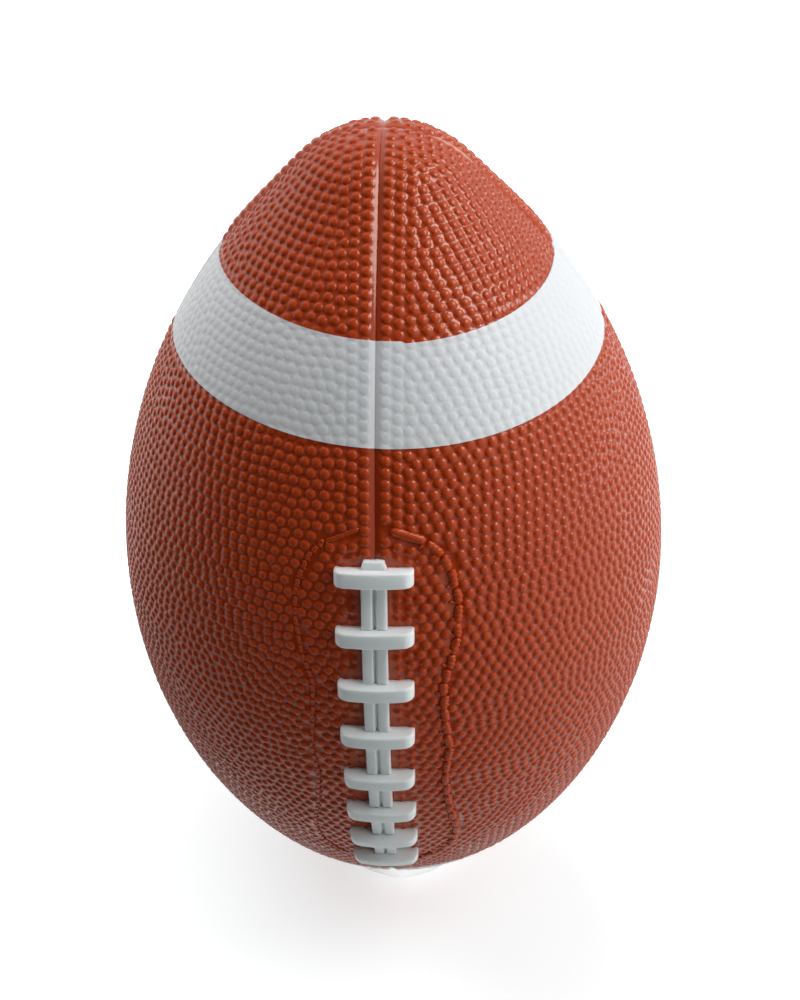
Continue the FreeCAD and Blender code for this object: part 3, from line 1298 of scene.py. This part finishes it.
@dataclass
class Lace:
    """The lace: a grooved spine along the front seam and eight moulded cross bars over it."""

    form: BallForm
    vinyl: Material
    bar_count: int = 8
    bar_pitch: float = 16.15
    bar_shift: tuple[float, ...] = (-0.1, 0.05, 0.3, 0.65, 0.0, 0.35, 0.0, -0.1)
    bar_length: float = 19.4
    bar_width: float = 4.2
    bar_height: float = 4.25
    bow_radius: float = 45.0
    end_radius: float = 3.0
    off_seam: float = -0.3
    edge_radius: float = 0.55
    foot: float = -1.3
    tab_length: float = 2.1
    tab_end_width: float = 5.2
    spine_half: Pairs = (
        (3.2, -1.0), (3.2, 1.42), (3.15, 1.55), (3.02, 1.62), (2.3, 1.65), (0.8, 1.65),
        (0.62, 1.62), (0.54, 1.52), (0.5, 1.38), (0.12, 0.62), (0.0, 0.6),
    )
    groove_start: int = 5
    seed: int = 40

    def bar_along(self, index: int) -> float:
        """Place of a bar's middle along the ball, counted from the top one."""
        return ((self.bar_count - 1) / 2.0 - index) * self.bar_pitch + self.bar_shift[index]

    def bar_outline(self) -> tuple[Array, Array]:
        """Outline of a bar across the ball: straight foot, round ends and bowed crown.

        Returns:
            Points and outward directions, going round from the right foot.
        """
        half = self.bar_length / 2.0
        bow_middle = self.bar_height - self.bow_radius
        reach = self.bow_radius - self.end_radius
        end_x = half - self.end_radius
        end_y = bow_middle + math.sqrt(reach ** 2 - end_x ** 2)
        lean = math.asin(end_x / reach)
        points: list[Pair] = [(half, self.foot)]
        normals: list[Pair] = [(1.0, 0.0)]
        for angle in np.linspace(0.0, QUARTER - lean, 9):
            normals.append((math.cos(angle), math.sin(angle)))
            out, up = normals[-1]
            points.append((end_x + self.end_radius * out, end_y + self.end_radius * up))
        for angle in np.linspace(lean, -lean, 15)[1:-1]:
            normals.append((math.sin(angle), math.cos(angle)))
            out, up = normals[-1]
            points.append((self.bow_radius * out, bow_middle + self.bow_radius * up))
        for point, normal in list(zip(points, normals))[9::-1]:
            points.append((-point[0], point[1]))
            normals.append((-normal[0], normal[1]))
        return np.array(points), np.array(normals)

    def build_bar(self, index: int) -> Object:
        """Build one cross bar with softened edges.

        Args:
            index: Number of the bar, from 0 at the top.

        Returns:
            The bar's object.
        """
        rng = np.random.default_rng(self.seed + index)
        points, normals = self.bar_outline()
        swell = rng.uniform(0.985, 1.015)
        skew = rng.uniform(-0.010, 0.010)
        bend = np.linspace(0.0, QUARTER, 6)
        inset = np.concatenate((1.0 - np.sin(bend), (1.0 - np.sin(bend))[::-1])) * self.edge_radius
        side = np.concatenate((np.cos(bend), -np.cos(bend)[::-1])) * self.edge_radius
        side += np.where(side > 0.0, 1.0, -1.0) * (self.bar_width / 2.0 - self.edge_radius)
        grid = points[None, :, :] - normals[None, :, :] * inset[:, None, None]
        count = len(points)
        across = grid[..., 0].ravel() * swell
        rise = grid[..., 1].ravel()
        step = np.repeat(side, count) + skew * across
        middles = np.array([[0.0, 0.6, side[0]], [0.0, 0.6, side[-1]]])
        local = np.vstack((np.column_stack((across, rise, step)), middles))
        rows = np.arange(len(inset) * count).reshape(len(inset), count)
        faces = [
            ring_faces(rows[:-1], rows[1:])[:, ::-1],
            np.column_stack((rows[0], np.roll(rows[0], -1), np.full(count, len(local) - 2))),
            np.column_stack((np.roll(rows[-1], -1), rows[-1], np.full(count, len(local) - 1))),
        ]
        along = np.array([self.bar_along(index)])
        out, up = self.form.outline(along)
        lean = float(self.form.lean(along)[0])
        level = out[0] + local[:, 1] * math.cos(lean) - local[:, 2] * math.sin(lean)
        height = up[0] + local[:, 1] * math.sin(lean) + local[:, 2] * math.cos(lean) + self.form.middle
        piece = mesh_object(
            f"lace_bar_{index + 1}_moulded",
            np.column_stack((local[:, 0] + self.off_seam, -level, height)) * MM,
            np.concatenate(faces),
        )
        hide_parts(f"lace_bar_{index + 1}")
        return piece

    def build_spine(self) -> Object:
        """Build the spine along the seam, with a tapered tab at each end and a groove between the bars.

        Returns:
            The spine's object.
        """
        half = np.array(self.spine_half)
        section = np.vstack((half, half[-2::-1] * (-1.0, 1.0)))
        last = self.bar_along(0)
        tab_start = last + self.bar_width / 2.0
        tab_end = tab_start + self.tab_length
        tab_share = self.tab_end_width / (2.0 * half[0, 0])
        body = np.linspace(-last, last, 61)
        ends = [(tab_start, 1.0, 0.0), (tab_end - 0.5, tab_share + 0.03, 0.0)]
        ends += [(tab_end - 0.15, tab_share - 0.02, 0.12)]
        ends += [(tab_end, tab_share - 0.08, drop) for drop in (0.45, 2.6)]
        rows = [(-a, w, d, 0.0) for a, w, d in ends[::-1]]
        rows += [(a, 1.0, 0.0, 1.0 if abs(a) < last - 0.1 else 0.0) for a in body]
        rows += [(a, w, d, 0.0) for a, w, d in ends]
        flat = section.copy()
        inner = np.abs(flat[:, 0]) < half[self.groove_start, 0]
        flat[inner, 1] = half[self.groove_start, 1]
        points = []
        for along, width, drop, groove in rows:
            shape = flat * (1.0 - groove) + section * groove
            lift = np.maximum(shape[:, 1] - drop, half[0, 1])
            out = self.form.outline(np.array([along]))
            lean = float(self.form.lean(np.array([along]))[0])
            level = out[0][0] + lift * math.cos(lean)
            height = out[1][0] + lift * math.sin(lean) + self.form.middle
            points.append(np.column_stack((shape[:, 0] * width + self.off_seam, -level, height)))
        count = len(section)
        grid = np.arange(len(rows) * count).reshape(len(rows), count)
        faces = np.concatenate((ring_faces(grid[:-1], grid[1:]), fan(grid[0]), fan(grid[-1])[:, ::-1]))
        piece = mesh_object("lace_spine_moulded", np.concatenate(points) * MM, faces[:, ::-1])
        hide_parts("lace_spine")
        return piece

    def build(self) -> None:
        """Build and dress the spine and the bars."""
        pieces = [self.build_spine()] + [self.build_bar(index) for index in range(self.bar_count)]
        for piece in pieces:
            piece.data.materials.append(self.vinyl)
            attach(piece, "ball")
            log.info("%s: %d triangles", piece.name, len(piece.data.polygons))


def lathe(profile: Array, corners: int) -> tuple[Array, Array]:
    """Turn a closed outline round the Z axis.

    Args:
        profile: Rows of radius and height, going anticlockwise with the axis on the left.
        corners: Number of steps round.

    Returns:
        Points in the profile's unit, and triangles.
    """
    angle = np.arange(corners) * FULL_TURN / corners
    points = np.concatenate(
        [np.column_stack((r * np.cos(angle), r * np.sin(angle), np.full(corners, z))) for r, z in profile]
    )
    grid = np.arange(len(profile) * corners).reshape(len(profile), corners)
    return points, ring_faces(grid, np.roll(grid, -1, axis=0))


def rounded(corners: list[tuple[float, float, float]], steps: int = 5) -> Array:
    """Round the corners of a closed outline.

    Args:
        corners: Rows of radius, height and rounding length of each corner.
        steps: Points of each rounded corner.

    Returns:
        Rows of radius and height.
    """
    points = np.array(corners)
    result: list[Array] = []
    for before, here, after in zip(np.roll(points, 1, axis=0), points, np.roll(points, -1, axis=0)):
        ways = [(other[:2] - here[:2]) / np.hypot(*(other[:2] - here[:2])) for other in (before, after)]
        begin, end = (here[:2] + way * here[2] for way in ways)
        for share in np.linspace(0.0, 1.0, steps):
            result.append((1 - share) ** 2 * begin + 2 * share * (1 - share) * here[:2] + share ** 2 * end)
    return np.array(result)


@dataclass
class RingStand:
    """The low ring that holds the ball's tip, with a seat that follows the tip."""

    form: BallForm
    plastic: Material
    wall: float = 6.5
    edge: float = 0.6
    foot_edge: float = 0.9
    bore_edge: float = 0.4
    rim_edge: float = 0.25
    seat_gap: float = 0.3
    corners: int = 144

    def build(self) -> None:
        """Build and dress the ring."""
        _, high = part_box("stand_ring")
        outer = high[0] / MM
        height = high[2] / MM
        bore = outer - self.wall
        tip_middle = self.form.middle - self.form.half_length + self.form.tip_radius
        seat = self.form.tip_radius + self.seat_gap
        bore_top = tip_middle - math.sqrt(seat ** 2 - bore ** 2)
        rim = math.sqrt(seat ** 2 - (tip_middle - height) ** 2)
        profile = rounded([
            (bore, 0.0, self.bore_edge), (outer, 0.0, self.foot_edge), (outer, height, self.edge),
            (rim, height, self.rim_edge), (bore, bore_top, self.bore_edge),
        ])
        points, faces = lathe(profile, self.corners)
        ring = mesh_object("stand_ring_turned", points * MM, faces)
        ring.data.materials.append(self.plastic)
        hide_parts("stand_ring")
        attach(ring, "stand")
        log.info("%s: %d triangles", ring.name, len(ring.data.polygons))


@dataclass(frozen=True)
class Softbox:
    """A soft lamp: where it hangs round its aim in degrees, its size and distance in metres, its beam."""

    name: str
    azimuth: float
    elevation: float
    width: float
    height: float
    power: float
    distance: float = 1.0
    aim: tuple[float, float, float] | None = None
    spread: float = 180.0


@dataclass(frozen=True)
class Studio:
    """Pale floor, soft light from both sides and the camera at the photo's angle."""

    form: BallForm
    focal_px: float = 1114.66
    image_px: tuple[int, int] = (800, 1000)
    distance: float = 364.21
    elevation: float = math.radians(40.14)
    azimuth: float = math.radians(3.8)
    roll: float = math.radians(-1.67)
    aim_px: Pair = (393.27, 551.93)
    floor_light: str = "#E3E8E9"
    floor_shade: str = "#D1D6D7"
    # floor_mirrored: the near-black colour that mirror rays see, under the painted reflection glow.
    floor_mirrored: str = "#101010"
    # floor_glow: glow to the eye that is weaker near the ball, so the board darkens there: painted shade on
    # top of the real shadow.
    floor_glow: Pair = (0.44, 1.0)
    floor_reach: Pair = (0.035, 0.3)
    # mirrored_glow down to near_reach: glow that only mirror rays see, a painted reflection in the ball's
    # gloss.
    mirrored_glow: Pair = (0.0, 0.46)
    mirrored_reach: Pair = (-0.34, -0.04)
    behind_glow: float = 0.75
    behind_reach: Pair = (0.0, 0.2)
    right_glow: float = 0.4
    right_reach: Pair = (0.03, 0.3)
    near_glow: float = 0.35
    near_reach: Pair = (0.08, 0.18)
    room_front: tuple[float, float, float] = (0.0, -0.95, 0.31)
    room_edges: Pair = (-0.4, 0.5)
    backdrop_light: float = 0.85
    side_light: float = 0.5
    side_reach: Pair = (0.0, 0.8)
    overhead_light: float = 0.12
    overhead_reach: Pair = (0.1, 0.6)
    floor_rings: tuple[float, ...] = (0.1, 0.25, 0.5, 1.0, 2.0)
    floor_corners: int = 64

    def camera(self) -> None:
        """Set the camera so that the ball's middle falls where the photo has it."""
        data = bpy.data.cameras.new("camera")
        data.sensor_width = 36.0
        data.lens = self.focal_px * data.sensor_width / max(self.image_px)
        data.clip_start = 0.01
        eye = Vector((0.0, -math.cos(self.elevation), math.sin(self.elevation))) * self.distance
        back = eye.normalized()
        right = Vector((1.0, 0.0, 0.0))
        up = back.cross(right)
        plain = Matrix((right, up, back)).transposed()
        offset_x = self.aim_px[0] - self.image_px[0] / 2.0
        offset_y = self.aim_px[1] - self.image_px[1] / 2.0
        sight = Vector((offset_x / self.focal_px, -offset_y / self.focal_px, -1.0)).normalized()
        aim = sight.rotation_difference(Vector((0.0, 0.0, -1.0))).to_matrix()
        swing = Matrix.Rotation(self.azimuth, 3, "Z")
        turn = swing @ plain @ aim @ Matrix.Rotation(self.roll, 3, "Z")
        place = swing @ eye + Vector((0.0, 0.0, self.form.middle))
        camera = bpy.data.objects.new("camera", data)
        camera.matrix_world = Matrix.Translation(place * MM) @ turn.to_4x4()
        bpy.context.scene.collection.objects.link(camera)
        bpy.context.scene.camera = camera

    def floor(self) -> None:
        """Lay a round pale floor that keeps the object's shadow."""
        angle = np.arange(self.floor_corners) * FULL_TURN / self.floor_corners
        circle = np.column_stack((np.cos(angle), np.sin(angle), np.zeros(self.floor_corners)))
        points = np.vstack([radius * circle for radius in self.floor_rings] + [np.zeros((1, 3))])
        grid = np.arange(len(points) - 1).reshape(-1, self.floor_corners)
        middle = np.full(self.floor_corners, len(points) - 1)
        inner = np.column_stack((grid[0], np.roll(grid[0], -1), middle))
        floor = mesh_object("floor", points, np.concatenate((inner, ring_faces(grid[1:], grid[:-1]))))
        floor.data.materials.append(self.board())

    def board(self) -> Material:
        """Build the floor's finish: matt white board that stays white to the eye, darker near the ball by
        painted shade on top of its real shadow, with a painted reflection for the ball's gloss.

        Returns:
            The finished material.
        """
        # Matt board gives no mirror image, only a soft shadow. In the ball's gloss it shows a painted
        # reflection: to mirror rays the board is near black and glows, bright behind, to the right and close
        # by, and dark towards the camera.
        material, tree, place = start_material("board_with_painted_glow")
        tree.nodes.remove(tree.nodes["Principled BSDF"])
        ray = add_node(tree, "LightPath").node.outputs
        views = {0: ray["Is Camera Ray"], 1: ray["Is Transmission Ray"]}
        seen = add_node(tree, "Math", views, operation="MAXIMUM")
        way = add_node(tree, "SeparateXYZ", {0: place}).node.outputs
        far = add_node(tree, "VectorMath", {0: place}, operation="LENGTH")
        ramps = []
        # The first ramp is the glow to the eye, weaker near the ball: painted shade. The others glow only for
        # mirror rays: a painted reflection.
        for value, reach, glow in (
            (far, self.floor_reach, self.floor_glow),
            (way["Y"], self.mirrored_reach, self.mirrored_glow),
            (way["Y"], self.behind_reach, (0.0, self.behind_glow)),
            (way["X"], self.right_reach, (0.0, self.right_glow)),
            (far, self.near_reach, (self.near_glow, 0.0)),
        ):
            ramp = dict(zip(RANGE, (value, *reach, *glow)))
            ramps.append(add_node(tree, "MapRange", ramp, interpolation_type="SMOOTHSTEP"))
        around = ramps[1]
        for ramp in ramps[2:]:
            around = add_node(tree, "Math", {0: around, 1: ramp}, operation="ADD")
        # Mirror rays see the board near black with the glow of the painted reflection.
        glossy = ray["Is Glossy Ray"]
        in_mirror = add_node(tree, "Math", {0: around, 1: glossy}, operation="MULTIPLY")
        strength = add_node(tree, "Mix", {"Factor": seen, "A": in_mirror, "B": ramps[0]}, data_type="FLOAT")
        tints = {"Factor": glossy, "A": linear(self.floor_shade), "B": linear(self.floor_mirrored)}
        unseen = add_node(tree, "Mix", tints, data_type="RGBA")
        tints = {"Factor": seen, "A": unseen, "B": linear(self.floor_light)}
        body = add_node(tree, "BsdfDiffuse", {"Color": add_node(tree, "Mix", tints, data_type="RGBA")})
        glow = add_node(tree, "Emission", {"Strength": strength})
        both = add_node(tree, "AddShader", {0: body, 1: glow})
        feed(tree, tree.nodes["Material Output"], {"Surface": both})
        return material

    def lamp(self, softbox: Softbox) -> Object:
        """Hang one softbox so that it faces the ball, and return its lamp."""
        data = bpy.data.lights.new(softbox.name, "AREA")
        data.shape = "RECTANGLE"
        data.size = softbox.width
        data.size_y = softbox.height
        data.energy = softbox.power
        data.spread = math.radians(softbox.spread)
        level = math.cos(math.radians(softbox.elevation))
        around = math.radians(softbox.azimuth)
        way = Vector((
            level * math.sin(around), -level * math.cos(around), math.sin(math.radians(softbox.elevation))
        ))
        lamp = bpy.data.objects.new(softbox.name, data)
        lamp.location = way * softbox.distance + Vector(softbox.aim or (0.0, 0.0, self.form.middle)) * MM
        lamp.rotation_euler = (-way).to_track_quat("-Z", "Y").to_euler()
        bpy.context.scene.collection.objects.link(lamp)
        return lamp

    def light(self) -> None:
        """Set the lamps and the world: white backdrop behind the object, dim room before it."""
        self.lamp(Softbox("softbox_high", 88.0, 50.0, 0.6, 0.45, 4.6))
        for softbox in (
            Softbox("softbox_right", 90.0, 12.0, 1.0, 1.0, 5.6),
            Softbox("softbox_left", 230.0, 52.0, 1.2, 1.2, 11.0),
            Softbox("softbox_front", 50.0, 25.0, 0.6, 0.6, 1.5),
            Softbox("kicker", 8.0, 4.0, 0.03, 0.03, 0.003, 0.8, (0.0, -26.0, 2.0), 4.0),
        ):
            self.lamp(softbox).visible_glossy = False
        world = bpy.data.worlds.new("studio")
        bpy.context.scene.world = world
        world.use_nodes = True
        tree = world.node_tree
        ray = add_node(tree, "LightPath").node.outputs
        place = add_node(tree, "TexCoord", give="Generated")
        facing = add_node(tree, "VectorMath", {0: place, 1: self.room_front}, operation="DOT_PRODUCT")
        way = add_node(tree, "SeparateXYZ", {0: place}).node.outputs
        mirrored = 0.0
        for value, reach, glow in (
            (facing, self.room_edges, (self.backdrop_light, 0.0)),
            (way["X"], self.side_reach, (0.0, self.side_light)),
            (way["Z"], self.overhead_reach, (0.0, self.overhead_light)),
        ):
            ramp = dict(zip(RANGE, (value, *reach, *glow)))
            panel = add_node(tree, "MapRange", ramp, interpolation_type="SMOOTHSTEP")
            mirrored = add_node(tree, "Math", {0: mirrored, 1: panel}, operation="MAXIMUM")
        lit = add_node(tree, "Math", {0: mirrored, 1: ray["Is Glossy Ray"]}, operation="MULTIPLY")
        views = {0: ray["Is Camera Ray"], 1: ray["Is Transmission Ray"]}
        seen = add_node(tree, "Math", views, operation="MAXIMUM")
        strength = add_node(tree, "Mix", {"Factor": seen, "A": lit, "B": 1.0}, data_type="FLOAT")
        feed(tree, tree.nodes["Background"], {"Color": linear("#FFFFFF"), "Strength": strength})

    def build(self) -> None:
        """Set the whole stage."""
        bpy.context.scene.view_settings.view_transform = "Standard"
        self.camera()
        self.floor()
        self.light()


def dress(nodes: list[str], material: Material) -> None:
    """Give CAD nodes a material.

    Args:
        nodes: Names of the nodes.
        material: Finish that all of them take.
    """
    for name in nodes:
        piece = bpy.data.objects[name]
        piece.data.materials.clear()
        piece.data.materials.append(material)
        piece.data.polygons.foreach_set("use_smooth", np.zeros(len(piece.data.polygons), dtype=bool))
        log.info("%s: %s", name, material.name)


def main() -> None:
    """Build the football, its stand and the stage."""
    logging.basicConfig(level=logging.INFO, format="%(message)s")
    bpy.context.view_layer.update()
    form = BallForm.from_frame()
    skin = form.inset(0.3)
    studio = Studio(form)
    studio.build()
    # Calendered vinyl film: an even satin white that shows the pebbles under it by their shading only.
    film = SatinPlastic("vinyl_film", "#E6E8EA", "#DFE2E5", 0.45).make()
    bands = [
        WhiteBand("stripe_band_upper", BallEnd.UPPER, skin, film),
        WhiteBand("stripe_band_lower", BallEnd.LOWER, skin, film, kink_step=0.0),
    ]
    cover = Cover(skin, MouldedRubber().make(), bands)
    cover.build()
    for band in bands:
        band.build([panel.top for panel in cover.panels])
    # Moulded soft vinyl: satin, and a little light goes in, which softens the edges of the bars.
    Lace(form, SatinPlastic("moulded_vinyl", "#EEF4F4", "#E8EEEE", 0.45, scatter_mm=1.2).make()).build()
    # Injection-moulded styrene: glossy and milky, so that it stays white in the ball's shade.
    RingStand(form, SatinPlastic("gloss_styrene", "#FBFBFB", "#F7F7F7", 0.18, scatter_mm=2.0).make()).build()
    # Sheet butyl: matt black with a faint dusty grain.
    dress(["bladder"], SatinPlastic("sheet_butyl", "#201F1F", "#171616", 0.55, grain_strength=0.3).make())
    dress(["carcass_winding"], WoundThread().make())
    # Moulded butyl: dark, with the dull skin of a valve that is pressed in a mould.
    valve = SatinPlastic("moulded_butyl", "#2B2625", "#221E1D", 0.5, cloud_mm=6.0, grain_strength=0.3).make()
    dress(["valve_housing", "valve_core"], valve)


if __name__ == "__main__":
    main()
